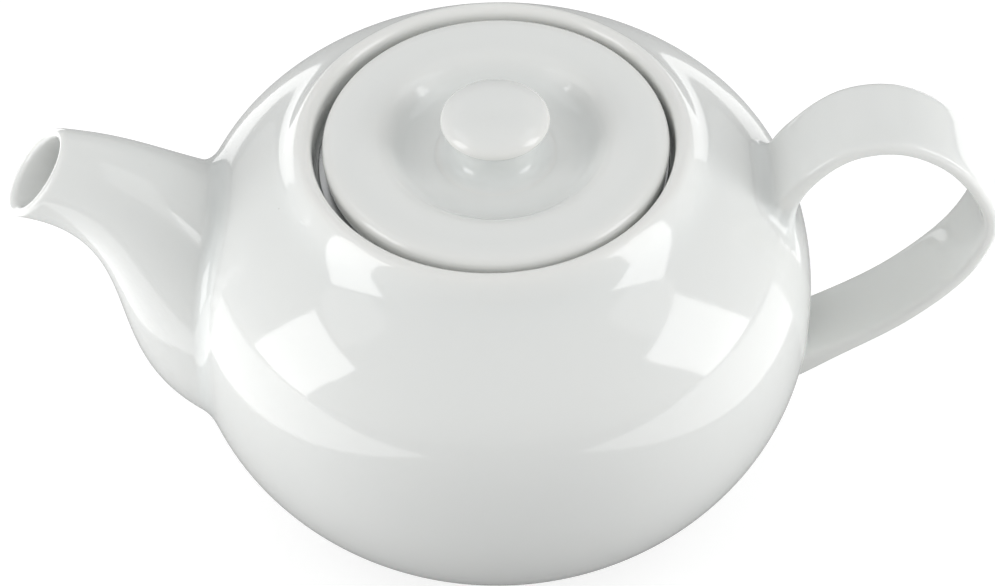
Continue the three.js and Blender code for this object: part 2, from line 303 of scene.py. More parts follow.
glaze = {
    "clay": (0.835, 0.845, 0.830, 1.0),  # the white body under the glaze
    "pooledAndShaded": (0.765, 0.795, 0.785, 1.0),  # where the glaze lies thick it turns cooler; its darkness there is painted shade
    "thin": (0.865, 0.860, 0.835, 1.0),  # where it runs off an edge the clay warms it
    "cloudy": (0.788, 0.80, 0.796, 1.0),
    "mottled": (0.72, 0.7128, 0.6912, 1.0),
    "roughness": 0.075,
    "ripple": 0.000016,  # height of the glaze's long ripple, metres
    "peel": 0.0000022,  # height of its fine orange peel
    "speck": 0.35,  # strength of the iron specks
    "speckColour": (0.33, 0.29, 0.24, 1.0),
    "speckRarity": 0.975,  # share of cells that hold none
    "speckDepth": 0.000012,
    "index": 1.56,  # of refraction
    "glow": 0.22,  # share of the light that wanders through the clay
    "glowTint": (1.0, 0.97, 0.93),
    "glowReach": 0.0025,
}


def makeGlazeGroup():
    # Glaze: a slow cloudiness, pooling with painted shade in hollows and creases from the piece's own mark,
    # rare specks, and two sizes of ripple.
    b, given, result = newGroup(
        "glazeCoat",
        {"Clay": ("colour", glaze["clay"]), "PooledAndShaded": ("colour", glaze["pooledAndShaded"]),
         "Thin": ("colour", glaze["thin"]), "Roughness": ("value", glaze["roughness"]),
         "Specks": ("value", glaze["speck"]), "Seed": ("value", 0.0)}, surfaceOutputs)
    place = b.add("TexCoord").outputs["Object"]
    shift = b.add("CombineXYZ", ("X", given["Seed"]), ("Y", given["Seed"])).outputs[0]
    where = b.add("VectorMath", (0, place), (1, shift), operation="ADD").outputs[0]
    cloud = b.noise(where, 26.0, 3.0, 0.55)
    mottle = b.noise(where, 420.0, 2.0)
    poolAndShade = b.add("Attribute", attribute_name="poolAndShade").outputs["Fac"]
    # Painted shade: hollows and creases turn darker and cooler, together with the pooled glaze.
    hollow = b.math("MAXIMUM", poolAndShade, 0.0)
    bulge = b.math("MAXIMUM", b.math("MULTIPLY", poolAndShade, -1.0), 0.0)
    thick = b.math("MULTIPLY", hollow, b.ramp(cloud, 0.3, 0.7, 0.75, 1.1), clamp=True)
    thin = b.math("MULTIPLY", bulge, 0.8, clamp=True)
    tone = b.blend(thick, given["Clay"], given["PooledAndShaded"])
    tone = b.blend(thin, tone, given["Thin"])
    tone = b.blend(b.ramp(cloud, 0.35, 0.75, 0.0, 0.16), tone, glaze["cloudy"])
    tone = b.blend(b.ramp(mottle, 0.62, 0.8, 0.0, 0.05), tone, glaze["mottled"])
    # Specks: only cells whose own random number is very high hold one, a fifth of a millimetre across.
    cells = b.add("TexVoronoi", ("Vector", where), values={"Scale": 150.0, "Randomness": 1.0})
    luck = b.add("SeparateColor", ("Color", cells.outputs["Color"])).outputs[0]
    lone = b.math("GREATER_THAN", luck, glaze["speckRarity"])
    dot = b.ramp(cells.outputs["Distance"], 0.02, 0.045, 1.0, 0.0)
    speck = b.math("MULTIPLY", b.math("MULTIPLY", dot, lone), given["Specks"], clamp=True)
    tone = b.blend(speck, tone, glaze["speckColour"])
    rough = b.math("ADD", given["Roughness"], b.ramp(cloud, 0.35, 0.7, -0.012, 0.022))
    rough = b.math("ADD", rough, b.math("MULTIPLY", thin, 0.03))
    ripple = b.math("MULTIPLY", b.noise(where, 55.0, 1.0), glaze["ripple"])
    peel = b.math("MULTIPLY", b.noise(where, 700.0, 1.0), glaze["peel"])
    height = b.math("ADD", ripple, peel)
    height = b.math("SUBTRACT", height, b.math("MULTIPLY", speck, glaze["speckDepth"]))
    b.give(result, Color=tone, Roughness=rough, Height=height)
    return b.tree


biscuit = {
    "dark": (0.70, 0.68, 0.63, 1), "light": (0.80, 0.785, 0.745, 1), "scuffed": (0.52, 0.50, 0.47, 1),
    "wander": 0.00025,  # how far the glaze line strays up and down, metres
    "grainHeight": 0.00003,
}


def makeBiscuitGroup():
    # Bare fired clay, which shows where a piece stood in the kiln: chalky, faintly warm and grainy.
    # The mask is 1 between two heights, with a wandering glaze line.
    b, given, result = newGroup(
        "bareClay",
        {"Below": ("value", 0.0008), "Above": ("value", -1.0), "Color": ("colour", (1, 1, 1, 1)),
         "Roughness": ("value", 0.1), "Height": ("value", 0.0)}, surfaceOutputs)
    place = b.add("TexCoord").outputs["Object"]
    z = b.add("SeparateXYZ", ("Vector", place)).outputs["Z"]
    wander = b.noise(place, 130.0, 3.0)
    level = b.math("ADD", z, b.ramp(wander, 0.3, 0.7, -biscuit["wander"], biscuit["wander"]))
    under = b.math("LESS_THAN", level, given["Below"])
    over = b.math("GREATER_THAN", level, given["Above"])
    bare = b.math("MULTIPLY", under, over)
    grain = b.noise(place, 2600.0, 4.0, 0.7)
    scuff = b.noise(place, 300.0, 3.0)
    clay = b.blend(b.ramp(grain, 0.35, 0.65), biscuit["dark"], biscuit["light"])
    clay = b.blend(b.ramp(scuff, 0.58, 0.72, 0.0, 0.3), clay, biscuit["scuffed"])
    tone = b.blend(bare, given["Color"], clay)
    extra = b.math("SUBTRACT", b.ramp(grain, 0.3, 0.7, 0.62, 0.8), given["Roughness"])
    matt = b.math("ADD", b.math("MULTIPLY", bare, extra), given["Roughness"])
    rise = b.math("MULTIPLY", b.math("MULTIPLY", bare, grain), biscuit["grainHeight"])
    rise = b.math("ADD", given["Height"], rise)
    b.give(result, Color=tone, Roughness=matt, Height=rise)
    return b.tree


def makePorcelain(name, seed, bareBelow=None):
    # Glossy porcelain: the glaze group, then bare clay below a height, in metres, if the piece has any.
    material, b = newMaterial(name)
    coat = b.add("Group", node_tree=glazeGroup)
    coat.inputs["Seed"].default_value = seed
    last = coat.outputs
    if bareBelow is not None:
        bare = b.add("Group", ("Color", last["Color"]), ("Roughness", last["Roughness"]),
                     ("Height", last["Height"]), node_tree=biscuitGroup)
        bare.inputs["Below"].default_value = bareBelow
        last = bare.outputs
    bump = b.add("Bump", ("Height", last["Height"]), values={"Strength": 1.0, "Distance": 1.0})
    skin = b.add("BsdfPrincipled", ("Base Color", last["Color"]), ("Roughness", last["Roughness"]),
                 ("Normal", bump.outputs["Normal"]),
                 values={"IOR": glaze["index"], "Specular IOR Level": 0.5,
                         "Subsurface Weight": glaze["glow"], "Subsurface Radius": glaze["glowTint"],
                         "Subsurface Scale": glaze["glowReach"]})
    b.add("OutputMaterial", ("Surface", skin.outputs[0]))
    return material


steel = {
    "bright": (0.66, 0.665, 0.67, 1.0),
    "dull": (0.50, 0.505, 0.515, 1.0),
    "smeared": (0.56, 0.56, 0.56, 1),
    "tea": (0.36, 0.28, 0.20, 1.0),  # faint stain low in the basket
    "stainTop": 0.06,  # height at which it has faded out, metres
    "roughness": 0.24,
    "hairDepth": 0.000006,
    "anisotropy": 0.3,
}


def makeSteelGroup():
    # Spun stainless steel: hairlines round the axis, which change fast with height and slowly sideways,
    # handling smears, and a faint tea stain that fades upwards.
    b, given, result = newGroup(
        "spunSteel", {"Along": ("vector", (40.0, 40.0, 2400.0)), "Stain": ("value", 0.25),
                      "Stain Top": ("value", steel["stainTop"])}, surfaceOutputs)
    place = b.add("TexCoord").outputs["Object"]
    stretched = b.add("VectorMath", (0, place), (1, given["Along"]), operation="MULTIPLY").outputs[0]
    hair = b.noise(stretched, 1.0, 4.0, 0.6)
    smear = b.noise(place, 60.0, 3.0)
    tone = b.blend(b.ramp(hair, 0.32, 0.68), steel["dull"], steel["bright"])
    tone = b.blend(b.ramp(smear, 0.5, 0.75, 0.0, 0.22), tone, steel["smeared"])
    z = b.add("SeparateXYZ", ("Vector", place)).outputs["Z"]
    fade = b.math("DIVIDE", z, given["Stain Top"])
    stain = b.math("MULTIPLY", b.ramp(fade, 0.2, 1.0, 1.0, 0.0), b.ramp(smear, 0.35, 0.7))
    stain = b.math("MULTIPLY", stain, given["Stain"], clamp=True)
    tone = b.blend(stain, tone, steel["tea"])
    brushed = b.ramp(hair, 0.3, 0.7, steel["roughness"] - 0.05, steel["roughness"] + 0.09)
    rough = b.math("ADD", brushed, b.ramp(smear, 0.45, 0.8, 0.0, 0.1))
    b.give(result, Color=tone, Roughness=rough, Height=b.math("MULTIPLY", hair, steel["hairDepth"]))
    return b.tree


def makeSteel(name, along, stain):
    # The steel group, with hairlines stretched to suit the piece and so much tea stain.
    material, b = newMaterial(name)
    spun = b.add("Group", node_tree=steelGroup)
    spun.inputs["Along"].default_value = along
    spun.inputs["Stain"].default_value = stain
    bump = b.add("Bump", ("Height", spun.outputs["Height"]), values={"Strength": 1.0, "Distance": 1.0})
    skin = b.add("BsdfPrincipled", ("Base Color", spun.outputs["Color"]),
                 ("Roughness", spun.outputs["Roughness"]), ("Normal", bump.outputs["Normal"]),
                 values={"Metallic": 1.0, "Anisotropic": steel["anisotropy"]})
    b.add("OutputMaterial", ("Surface", skin.outputs[0]))
    return material


glazeGroup = makeGlazeGroup()
biscuitGroup = makeBiscuitGroup()
steelGroup = makeSteelGroup()
bodyPorcelain = makePorcelain("bodyPorcelain", 0.0, bareBelow=0.0007)
spoutPorcelain = makePorcelain("spoutPorcelain", 0.0)
handlePorcelain = makePorcelain("handlePorcelain", 0.0)
lidPorcelain = makePorcelain("lidPorcelain", 3.1, bareBelow=0.0826)
knobPorcelain = makePorcelain("knobPorcelain", 3.1)
rimSteel = makeSteel("rimSteel", (60.0, 60.0, 1800.0), 0.05)
wallSteel = makeSteel("wallSteel", (40.0, 40.0, 2400.0), 0.3)
baseSteel = makeSteel("baseSteel", (1600.0, 60.0, 900.0), 0.45)
print("materials made")


potDims = {
    "bellyRadius": 71.5, "bellyHeight": 48.0, "lowerSemi": 56.5, "wall": 4.0,
    "outerStart": 5.2,  # height at which the belly leaves the foot
    # radius and height up the shoulder, then over the collar
    "shoulder": [(71.5, 48), (71.3, 56), (70.7, 62), (69.6, 68), (68.4, 72), (67.3, 75), (65.9, 78),
                 (64.4, 80), (62.5, 82), (60.4, 84), (58.1, 86), (55.5, 88), (52.7, 90), (49.9, 91.9)],
    "collar": [(47.7, 93.7), (46.1, 95.5), (44.9, 97.3), (43.9, 98.7), (43.1, 99.65), (42.2, 100.25),
               (41.3, 100.35), (40.5, 100.05), (39.9, 99.3), (39.65, 98.3), (39.6, 97.0), (39.6, 95.8)],
    "smoothing": ([84, 92, 96], [6.0, 2.5, 0.7]),  # heights, and how widely the line is smoothed there
    "footOuter": 38.5, "footInner": 33.0, "footHeight": 3.0, "floorHeight": 7.5, "floorRounding": 6.0,
    "underside": [(0, 0.5, 0), (12, 0.4, 20), (28, 0.05, 20)],  # radius, rise in the foot, rounding
    "recessRadius": 39.6, "ledgeHeight": 92.0, "mouthRadius": 37.4, "neckBottom": 88.0,
    "shellRows": 260, "innerRows": 84, "arcSteps": 9, "turns": 200,
    "strainerRows": (3, 4, 5, 4, 3), "strainerPitch": 8.0, "strainerRadius": 2.2,
    "strainerHeight": 57.0, "strainerDepth": 24,
}


def smoothed(line, spread):
    # Each point becomes the bell-weighted mean of its neighbours along the line, within its own spread.
    run = runAlong(line)
    reach = np.minimum(spread, np.minimum(run, run[-1] - run) / 2 + 0.01)
    weight = np.exp(-((run[:, None] - run[None]) / reach[:, None]) ** 2)
    return weight @ line / weight.sum(1, keepdims=True)


def outerLine():
    # Under the belly, half an ellipse: r = R cos a, z = middle + semi-height sin a. Above it, one smooth
    # curve over the shoulder and the collar's roll.
    p = potDims
    a = np.linspace(np.arcsin((p["outerStart"] - p["bellyHeight"]) / p["lowerSemi"]), 0, 200)
    lower = np.stack([p["bellyRadius"] * np.cos(a), p["bellyHeight"] + p["lowerSemi"] * np.sin(a)], 1)
    upper = curveThrough(np.vstack([lower[-40], lower[-20], p["shoulder"], p["collar"]]), 600)
    upper = upper[upper[:, 1] > p["bellyHeight"] + 0.3]
    line = evenly(np.vstack([lower, upper]), 1100)
    return smoothed(line, np.interp(line[:, 1], *p["smoothing"]))


outside = outerLine()
tangent = np.gradient(outside, axis=0)
outward = np.stack([tangent[:, 1], -tangent[:, 0]], 1) / np.linalg.norm(tangent, axis=1, keepdims=True)


def potProfile():
    # Up the outside from the underside's centre, over the collar, and down the inside to the floor's
    # centre. The inner wall is the outer line moved in by the wall's thickness.
    p = potDims
    crest = outside[:, 1].argmax()
    shell = evenly(outside, p["shellRows"])
    inner = (outside - p["wall"] * outward)[:crest]
    kept = (inner[:, 1] < p["neckBottom"]) & (inner[:, 1] > p["floorHeight"])
    kept &= inner[:, 0] > p["mouthRadius"]
    inner = evenly(inner[kept], p["innerRows"])[::-1]
    cut = 6  # inner rows that each rounding replaces
    underside = [(r, p["footHeight"] + rise, rounding) for r, rise, rounding in p["underside"]]
    foot = cornered(underside + [
        (p["footInner"], p["footHeight"], 0.9), (p["footInner"] + 0.25, 0, 0.9),
        (p["footOuter"] - 0.3, 0, 0.9), (p["footOuter"] + 0.35, 2.0, 1.1),
        (*shell[0], 0)], p["arcSteps"])
    throat = cornered([
        (*shell[-1], 0), (p["recessRadius"], p["ledgeHeight"], 0.9),
        (p["mouthRadius"], p["ledgeHeight"], 0.9), (p["mouthRadius"], p["neckBottom"], 1.3),
        (inner[0][0], p["neckBottom"], 2.2), (*inner[cut], 0)], p["arcSteps"])
    floor = cornered([
        (*inner[-cut - 1], 0), (inner[-1][0], p["floorHeight"], p["floorRounding"]),
        (14, p["floorHeight"], 0), (0, p["floorHeight"], 0)], p["arcSteps"])
    return np.vstack([foot[:-1], shell, throat[1:-1], inner[cut:-cut - 1], floor])


def makePotBody():
    # The profile turned round the axis, then the strainer holes drilled behind the spout.
    p = potDims
    profile = potProfile()
    apart = np.linalg.norm(np.diff(profile, axis=0), axis=1) > 0.02
    profile = profile[np.concatenate([[True], apart])]
    grid = turned(profile, p["turns"])
    # Painted shade and pooled glaze in the profile's hollows, lighter over its outward bends.
    poolAndShade = np.repeat(hollowness(profile)[:, None], p["turns"], 1)
    faces = gridFaces(*grid.shape[:2], False, True)
    mesh = meshFrom("potBody", grid.reshape(-1, 3), faces, {"poolAndShade": poolAndShade})
    rows, pitch = p["strainerRows"], p["strainerPitch"]
    starts = [(-p["bellyRadius"] - 4, (i - (count - 1) / 2) * pitch,
               p["strainerHeight"] + (row - (len(rows) - 1) / 2) * pitch)
              for row, count in enumerate(rows) for i in range(count)]
    mesh = drilled(mesh, starts, (1, 0, 0), p["strainerDepth"], p["strainerRadius"], 20)
    makePiece("potBody", mesh, "pot", "white_porcelain", bodyPorcelain, "pot_body")


makePotBody()


def polar(points):
    # Angle above the belly's middle and distance from it, in the upright plane through the axis.
    flat, lift = np.hypot(points[..., 0], points[..., 1]), points[..., 2] - potDims["bellyHeight"]
    return np.arctan2(lift, flat), np.hypot(flat, lift)


lineAngle, lineDistance = polar(np.stack([outside[:, 0], 0 * outside[:, 0], outside[:, 1]], 1))
rising = np.concatenate([[True], np.diff(np.maximum.accumulate(lineAngle)) > 0])


def onBelly(points):
    # Moves points straight out from, or in towards, the belly's centre until they lie on its surface.
    # Also gives the surface's distance as a share of the point's own, above 1 inside the pot.
    angle, distance = polar(points)
    share = np.interp(angle, lineAngle[rising], lineDistance[rising]) / distance
    middle, lift = potDims["bellyHeight"], points[..., 2] - potDims["bellyHeight"]
    return np.stack([points[..., 0] * share, points[..., 1] * share, middle + lift * share], -1), share


def bellyNormal(points):
    # The outer line's own normal at the point's angle, turned to face the point's way.
    angle = polar(points)[0]
    flat = np.interp(angle, lineAngle[rising], outward[rising, 0])
    up = np.interp(angle, lineAngle[rising], outward[rising, 1])
    across = points[..., :2] / np.linalg.norm(points[..., :2], axis=-1, keepdims=True)
    return unit(np.concatenate([across * flat[..., None], up[..., None]], -1))


def alongLines(lines, run, wanted):
    # The point on every line at its wanted distance from the line's start. lines is (along, around, 3).
    i = np.clip((run < wanted[None]).sum(0) - 1, 0, len(run) - 2)
    column = np.arange(lines.shape[1])
    share = ((wanted - run[i, column]) / (run[i + 1, column] - run[i, column]))[:, None]
    return lines[i, column] * (1 - share) + lines[i + 1, column] * share


melt = {
    "filletRows": 18,
    "fullness": 1.12,  # above 1 the fillet keeps closer to the limb and the wall
    "tuck": [(0.7, 0.035), (1.1, 0.5), (0.3, 2.0)],  # past the landing: out along the wall, in under it
}


def meltedIn(lines, limbReach, potReach, rows):
    # A limb's lines run to the pot and into it. Each stops limbReach short of the belly, and a smooth
    # cubic carries it on to a point potReach out along the belly, leaving along the limb and arriving
    # along the wall. Then it slips just under the surface. Returns the points and how far into the
    # fillet each row is.
    run = runAlong(lines)
    share = onBelly(lines)[1]
    column = np.arange(lines.shape[1])
    inside = (share > 1).argmax(0)
    before = inside - 1
    part = (1 - share[before, column]) / (share[inside, column] - share[before, column])
    cross = run[before, column] + part * (run[inside, column] - run[before, column])
    meet = alongLines(lines, run, cross)
    along = unit(alongLines(lines, run, cross + 0.4) - alongLines(lines, run, cross - 0.4))
    around = np.roll(meet, -1, 0) - np.roll(meet, 1, 0)
    side = unit(np.cross(around, along))
    side = side * np.sign(((meet - meet.mean(0)) * side).sum())
    normal = bellyNormal(meet)
    out = unit(side - (side * normal).sum(-1, keepdims=True) * normal)
    landing = onBelly(meet + out * potReach[:, None])[0]
    for turn in range(2):  # evens the landing curve a little round the limb
        landing = onBelly((np.roll(landing, 1, 0) + 2 * landing + np.roll(landing, -1, 0)) / 4)[0]
    wall = bellyNormal(landing)
    outThere = unit(landing - meet)
    outThere = unit(outThere - (outThere * wall).sum(-1, keepdims=True) * wall)
    leave = cross - limbReach
    start = alongLines(lines, run, leave)
    heading = unit(alongLines(lines, run, leave + 0.3) - alongLines(lines, run, leave - 0.3))
    pull = melt["fullness"] * np.linalg.norm(landing - start, axis=1)[:, None]
    straight = np.stack([alongLines(lines, run, leave * s) for s in np.linspace(0, 1, rows)])
    u = np.linspace(0, 1, melt["filletRows"] + 1)[1:, None, None]
    fillet = ((2 * u ** 3 - 3 * u ** 2 + 1) * start + (u ** 3 - 2 * u ** 2 + u) * pull * heading
              + (3 * u ** 2 - 2 * u ** 3) * landing + (u ** 3 - u ** 2) * pull * outThere)
    tuck = np.stack([landing + outThere * past - wall * under for past, under in melt["tuck"]])
    depth = np.concatenate([np.zeros(rows), u[:, 0, 0], np.ones(len(tuck))])
    return np.concatenate([straight, fillet, tuck]), depth


spoutDims = {
    # radius and height of the four points of each edge's curve, from the mouth down
    "upperEdge": [(-92.7, 101.9), (-78.6, 97.9), (-69.7, 91.0), (-54.0, 76.0)],
    "lowerEdge": [(-109.0, 85.3), (-66.9, 78.0), (-106.5, 28.3), (-50.0, 20.0)],
    "tipHalfWidth": 10.5, "rootHalfWidth": 33.0, "widening": 1.5,
    "tipWall": 2.3, "rootWall": 3.6, "lipStart": 0.02, "lipBulge": 1.15, "lipPool": -0.35,
    # The root's share darkens the fillet with pooled glaze and painted shade; the lip's lightens the lip as
    # thin glaze.
    "limbReach": 3.2, "potReach": 4.2, "rootPoolAndShade": 0.55,
    "steps": 500, "skinRows": 90, "channelRows": 64, "around": 144,
}


def spoutLines(insetShare):
    # Each section joins the upper edge to the lower edge: middle + half cos a + sideways half-width
    # sin a, where the half-width grows with a power of the distance from the mouth. The channel is the
    # same, less the wall.
    d = spoutDims
    t = np.linspace(d["lipStart"], 1, d["steps"])
    upper, lower = bezier(d["upperEdge"], t), bezier(d["lowerEdge"], t)
    wall = d["tipWall"] + (d["rootWall"] - d["tipWall"]) * np.clip(t * 3, 0, 1)
    inset = insetShare * wall[:, None]
    middle, half = (upper + lower) / 2, (upper - lower) / 2
    half = half * (1 - inset / np.linalg.norm(half, axis=1, keepdims=True))
    growth = (d["rootHalfWidth"] - d["tipHalfWidth"]) * np.clip(t, 0, 1)[:, None] ** d["widening"]
    wide = d["tipHalfWidth"] + growth - inset
    a = (np.arange(d["around"]) + 0.5) * 2 * np.pi / d["around"]
    x = middle[:, :1] + half[:, :1] * np.cos(a)
    z = middle[:, 1:] + half[:, 1:] * np.cos(a)
    return np.stack([x, wide * np.sin(a), z], 2)


def makeSpout():
    # The channel from the pot out to the lip, the lip, and the outside back to its fillet on the belly.
    d = spoutDims
    outer, channel = spoutLines(0), spoutLines(1)
    reach = np.ones(d["around"])
    skin, depth = meltedIn(outer, reach * d["limbReach"], reach * d["potReach"], d["skinRows"])
    run = runAlong(channel)
    share = onBelly(channel)[1]
    stop = run[(share > 1).argmax(0), np.arange(d["around"])] + 1.2
    hollow = np.stack([alongLines(channel, run, stop * s) for s in np.linspace(0, 1, d["channelRows"])])
    # The lip is a half round from the channel to the outside: middle + half thickness cos b + bulge sin b.
    b = np.linspace(np.pi, 0, 13)[1:-1, None, None]
    rimMiddle, rimHalf = (skin[0] + hollow[0]) / 2, (skin[0] - hollow[0]) / 2
    forward = -unit(unit(outer[3] - outer[0]) + unit(channel[3] - channel[0]))
    bulge = forward * np.linalg.norm(rimHalf, axis=1, keepdims=True) * d["lipBulge"]
    lip = rimMiddle + rimHalf * np.cos(b) + bulge * np.sin(b)
    grid = np.concatenate([hollow[::-1], lip, skin])
    # Painted shade with pooled glaze in the fillet where the spout meets the pot; thin glaze on the lip.
    poolAndShade = np.concatenate([np.zeros(len(hollow)), np.full(len(lip), d["lipPool"]),
                           np.sin(np.pi * np.clip(depth, 0, 1)) * d["rootPoolAndShade"]])
    poolAndShade = np.repeat(poolAndShade[:, None], d["around"], 1)
    gridPiece("potSpout", grid, "pot", "white_porcelain", spoutPorcelain, "spout",
              closeRows=True, marks={"poolAndShade": poolAndShade}, sharpDegrees=60)


makeSpout()


handleDims = {
    # x and height along the ribbon's middle, from the upper root round to the lower one
    "line": [(59, 72), (66.5, 89.8), (76.6, 99.5), (87.2, 101), (97.2, 96.4), (105, 87.6),
             (109.7, 75.5), (105.4, 61.4), (92.8, 46.2), (76, 33.9), (62, 25.5)],
    "topWidth": 20.5, "footWidth": 18.2, "thickness": 4.0,
    "rootThickening": 4.5, "rootShare": 0.1,  # share of the length over which the root thins out
    "squareness": 0.42,  # 1 is an ellipse and 0 a sharp rectangle
    "flatness": 5,  # how many times wider than thick the ribbon is when its outline's points are spaced
    "limbReach": 3.5, "potReach": 4.0, "innerReach": 5.0, "innerLimbReach": 8.0,
    "rootPoolAndShade": 0.5, "edgePool": -0.45, "edgeStart": 0.86,  # glaze: pooled and darkened by painted shade in the fillets, and thin off the edges
    "steps": 900, "rows": 110, "around": 72,
}


def ribbonOutline():
    # A superellipse: cos and sin each raised to a power below 1, spaced evenly as seen on a flat ribbon.
    d = handleDims
    a = np.linspace(0, 2 * np.pi, 4001)
    thick = np.sign(np.cos(a)) * np.abs(np.cos(a)) ** d["squareness"]
    wide = np.sign(np.sin(a)) * np.abs(np.sin(a)) ** d["squareness"]
    ring = np.stack([thick, d["flatness"] * wide], 1)
    return evenly(ring, d["around"] + 1)[:-1] / (1, d["flatness"])


def makeHandle():
    # The outline travels along the handle's line: across the thickness it follows the line's normal, and
    # across the width it follows Y. Near each root the ribbon thickens by a bell curve of the distance.
    d = handleDims
    line = curveThrough(d["line"], d["steps"])
    t = np.linspace(0, 1, d["steps"])[:, None]
    ahead = unit(np.gradient(line, axis=0))
    near = np.minimum(t, 1 - t) / d["rootShare"]
    halfThick = (d["thickness"] + d["rootThickening"] * np.exp(-near ** 2)) / 2
    halfWide = (d["topWidth"] + (d["footWidth"] - d["topWidth"]) * t) / 2
    ring = ribbonOutline()
    thick, wide = halfThick * ring[:, 0], halfWide * ring[:, 1]
    lines = np.stack([line[:, :1] - ahead[:, 1:] * thick, wide, line[:, 1:] + ahead[:, :1] * thick], 2)
    half = d["steps"] // 2
    reach = np.ones(d["around"])
    underside = np.clip(-ring[:, 0], 0, 1)  # the side that faces the fingers
    top, topDepth = meltedIn(lines[half::-1], reach * d["limbReach"] + underside * d["innerLimbReach"],
                             reach * d["potReach"] + underside * d["innerReach"], d["rows"])
    foot, footDepth = meltedIn(lines[half:], reach * d["limbReach"], reach * d["potReach"], d["rows"])
    # Each end closes on one point inside the pot's wall.
    caps = [np.broadcast_to(part[-1].mean(0) * (0.97, 1, 1), part[-1].shape)[None] for part in (top, foot)]
    grid = np.concatenate([caps[0], top[::-1], foot[1:], caps[1]])
    depth = np.concatenate([[1], topDepth[::-1], footDepth[1:], [1]])[:, None]
    edge = d["edgePool"] * np.clip((np.abs(ring[:, 1]) - d["edgeStart"]) / (1 - d["edgeStart"]), 0, 1)
    # Painted shade with pooled glaze in the root fillets, and thin glaze along the ribbon's edges.
    poolAndShade = np.sin(np.pi * np.clip(depth, 0, 1)) * d["rootPoolAndShade"] + edge[None] * (depth < 0.05)
    gridPiece("potHandle", grid, "pot", "white_porcelain", handlePorcelain, "handle",
              marks={"poolAndShade": poolAndShade}, sharpDegrees=60)


makeHandle()


lidDims = {
    "centreX": 0.54, "radius": 37.93, "edgeHeight": 98.0, "turns": 180,
    # radius and height from the dish's middle over the ridge to the edge
    "top": [(0, 95.0), (6, 95.0), (12, 95.0), (16, 95.03), (18.4, 95.25), (20.3, 95.85), (21.9, 96.85),
            (23.3, 98.1), (24.6, 99.2), (26.2, 100.0), (28.4, 100.45), (31, 100.62), (33.4, 100.55),
            (35.3, 100.35), (36.7, 99.9), (37.6, 99.05), (37.93, 98.0)],
    "flangeBottom": 93.4, "skirtRadius": 26.4, "skirtWall": 3.2, "skirtBottom": 82.0, "underside": 90.4,
}


def makeLid():
    # From the hollow underside, round the locating skirt and the flange, and over the band into the dish.
    d = lidDims
    inner, outer = d["skirtRadius"] - d["skirtWall"], d["skirtRadius"]
    under = cornered([(0, d["underside"], 0), (12, d["underside"], 0), (inner, d["underside"], 3.0),
                      (inner, d["skirtBottom"], 1.4), (outer, d["skirtBottom"], 1.4),
                      (outer, d["flangeBottom"], 1.6), (d["radius"] - 0.55, d["flangeBottom"], 1.3),
                      (d["radius"], d["edgeHeight"], 0)], 9)
    top = curveThrough(d["top"], 110)[::-1]
    profile = np.vstack([under, top[1:]])
    # Painted shade and pooled glaze in the dish and the lid's other inward bends.
    poolAndShade = np.repeat(hollowness(profile)[:, None], d["turns"], 1)
    gridPiece("lidTop", turned(profile, d["turns"], d["centreX"]), "cover", "white_porcelain",
              lidPorcelain, "lid", marks={"poolAndShade": poolAndShade})


makeLid()

knobDims = {
    "hidden": [(0, 93.2), (13.4, 93.2), (14.2, 94.4)],  # inside the lid
    "line": [(14.4, 94.985), (13.0, 95.01), (11.7, 95.13), (10.4, 95.6), (9.4, 96.4), (8.75, 97.5),
             (8.5, 98.9), (8.7, 100.3), (9.3, 101.6), (10.2, 102.7), (11.15, 103.5), (11.75, 104.2),
             (11.9, 104.9), (11.65, 105.7), (10.95, 106.5), (9.8, 107.2), (8.2, 107.8), (6.0, 108.25),
             (3, 108.5), (0, 108.55)],
    "turns": 120,
}


def makeKnob():
    # A button on a waisted stem. Its foot flares until it runs level into the dish, then ends below it.
    d = knobDims
    profile = np.vstack([d["hidden"], curveThrough(d["line"], 90)])
    # Painted shade and pooled glaze in the waist under the button.
    poolAndShade = hollowness(profile)
    poolAndShade[:len(d["hidden"])] = 0
    poolAndShade = np.repeat(poolAndShade[:, None], d["turns"], 1)
    gridPiece("lidKnob", turned(profile, d["turns"], lidDims["centreX"]), "cover", "white_porcelain",
              knobPorcelain, "lid_knob", marks={"poolAndShade": poolAndShade})


makeKnob()


basketDims = {
    "rimRadius": 38.6, "rimBottom": 92.3, "sheet": 0.8, "collarBottom": 86.0,
    "beadRadius": 35.0, "beadHalf": 1.2, "beadHeight": 0.22,
    "topRadius": 28.2, "footRadius": 27.0, "bottom": 21.0, "cupLip": 5.0,
    "wallShare": 0.75,  # the perforated wall's thickness as a share of the sheet's
    "columns": 80, "rows": 24, "holeShare": 0.31,  # hole radius as a share of the pitch
    "floorPitch": 3.1, "floorHole": 0.8, "floorRings": 8, "turns": 160,
}


def makeRim():
    # The flange that hangs on the ledge, with a rolled outer edge, and the collar that holds the basket.
    d = basketDims
    inner = d["topRadius"] + 0.3
    outer = inner + d["sheet"]
    low, top, seam = d["rimBottom"], d["rimBottom"] + d["sheet"], 89
    profile = cornered([(inner, seam, 0), (inner, d["collarBottom"], 0.25), (outer, d["collarBottom"], 0.25),
                        (outer, low, 1.2), (d["rimRadius"], low, 0.38), (d["rimRadius"], top, 0.38),
                        (inner, top, 1.9), (inner, seam + 0.01, 0)], 8)
    # A shallow bead pressed into the flange stiffens it: a squared cosine across its width.
    off = profile[:, 0] - d["beadRadius"]
    bead = np.clip(np.cos(off * np.pi / (2 * d["beadHalf"])), 0, 1) ** 2 * (np.abs(off) < d["beadHalf"])
    profile[:, 1] += d["beadHeight"] * bead
    gridPiece("infuserRim", turned(profile[:-1], d["turns"]), "infuser", "basket_steel", rimSteel,
              "infuser_rim", closeRows=True)


def basketRadius(z):
    # The wall widens evenly from its foot to the flange.
    d = basketDims
    widening, height = d["topRadius"] - d["footRadius"], d["rimBottom"] - d["bottom"]
    return d["footRadius"] + widening * (z - d["bottom"]) / height


